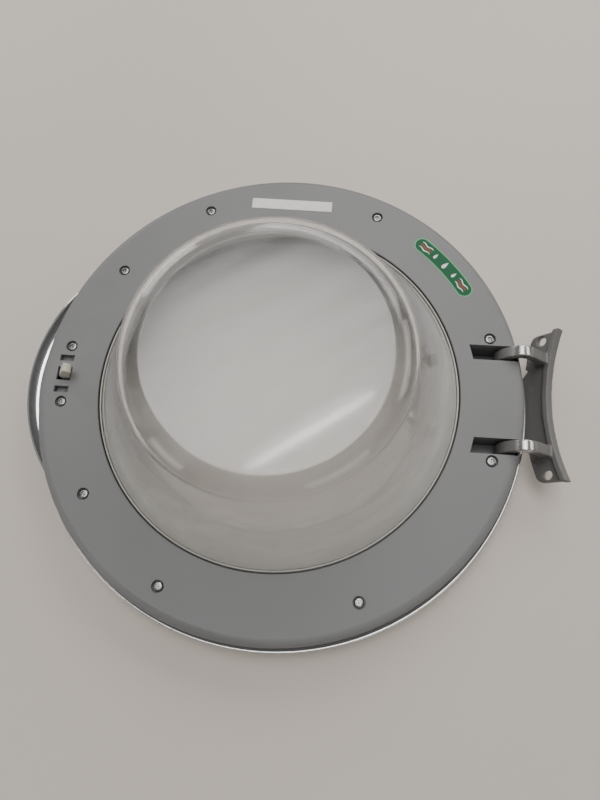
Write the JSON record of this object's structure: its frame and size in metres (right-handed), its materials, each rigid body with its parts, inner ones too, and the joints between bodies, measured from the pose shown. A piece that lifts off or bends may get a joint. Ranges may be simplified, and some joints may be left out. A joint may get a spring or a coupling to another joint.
{
  "type": "washing machine door",
  "caption": "Round front-loader washing machine door: plated outer ring with a finger grip, grey inner frame, domed glass bowl, swinging cast hinge with two arms and a sprung latch hook",
  "frame": {"origin": "centre of the porthole, on the plane of the front face", "axes": "+X from the centre to the hinge, +Y along the hinge axis, +Z from the front face to the bowl"},
  "size_m": [0.4573, 0.4204, 0.132],
  "materials": {
    "silver_ring": "bright silver plating on moulded plastic",
    "plated_grip": "mirror-bright plating on moulded plastic",
    "grey_frame": "satin mid-grey moulded plastic",
    "bowl_glass": "clear pressed glass with a trace of limescale",
    "pale_seal": "pale grey soft seal",
    "cast_hinge": "dark grey die-cast alloy, rubbed bright on the arms",
    "cream_catch": "cream-white moulded plastic",
    "bright_steel": "zinc-bright steel",
    "bush_plastic": "dark bearing plastic",
    "white_label": "white paper film, bare",
    "green_sticker": "dark green printed film"
  },
  "bodies": {
    "door": {"outer_ring": "silver_ring", "grip_handle": "plated_grip", "inner_frame": "grey_frame", "glass_bowl": "bowl_glass", "bowl_seal": "pale_seal", "hinge_bush_upper_outer": "bush_plastic", "hinge_bush_upper_inner": "bush_plastic", "hinge_bush_lower_inner": "bush_plastic", "hinge_bush_lower_outer": "bush_plastic", "latch_pin": "bright_steel", "latch_spring": "bright_steel", "frame_screws": "bright_steel", "rating_label": "white_label", "care_sticker": "green_sticker"},
    "hinge": {"hinge_bracket": "cast_hinge", "hinge_pin_upper": "bright_steel", "hinge_pin_lower": "bright_steel"},
    "latch": {"latch_hook": "cream_catch"}
  },
  "joints": [
    {"name": "door_hinge", "type": "hinge", "parent": "door", "child": "hinge", "pos_m": [0.1902, 0, 0.028], "axis": [0, 1, 0], "range_deg": [-130, 0]},
    {"name": "latch_pivot", "type": "hinge", "parent": "door", "child": "latch", "pos_m": [-0.184, 0, 0.024], "axis": [0, 1, 0], "range_deg": [-10, 0], "stiffness_Nm_per_rad": 0.3, "springref_deg": 17.19, "deforming": ["latch_spring"]}
  ]
}
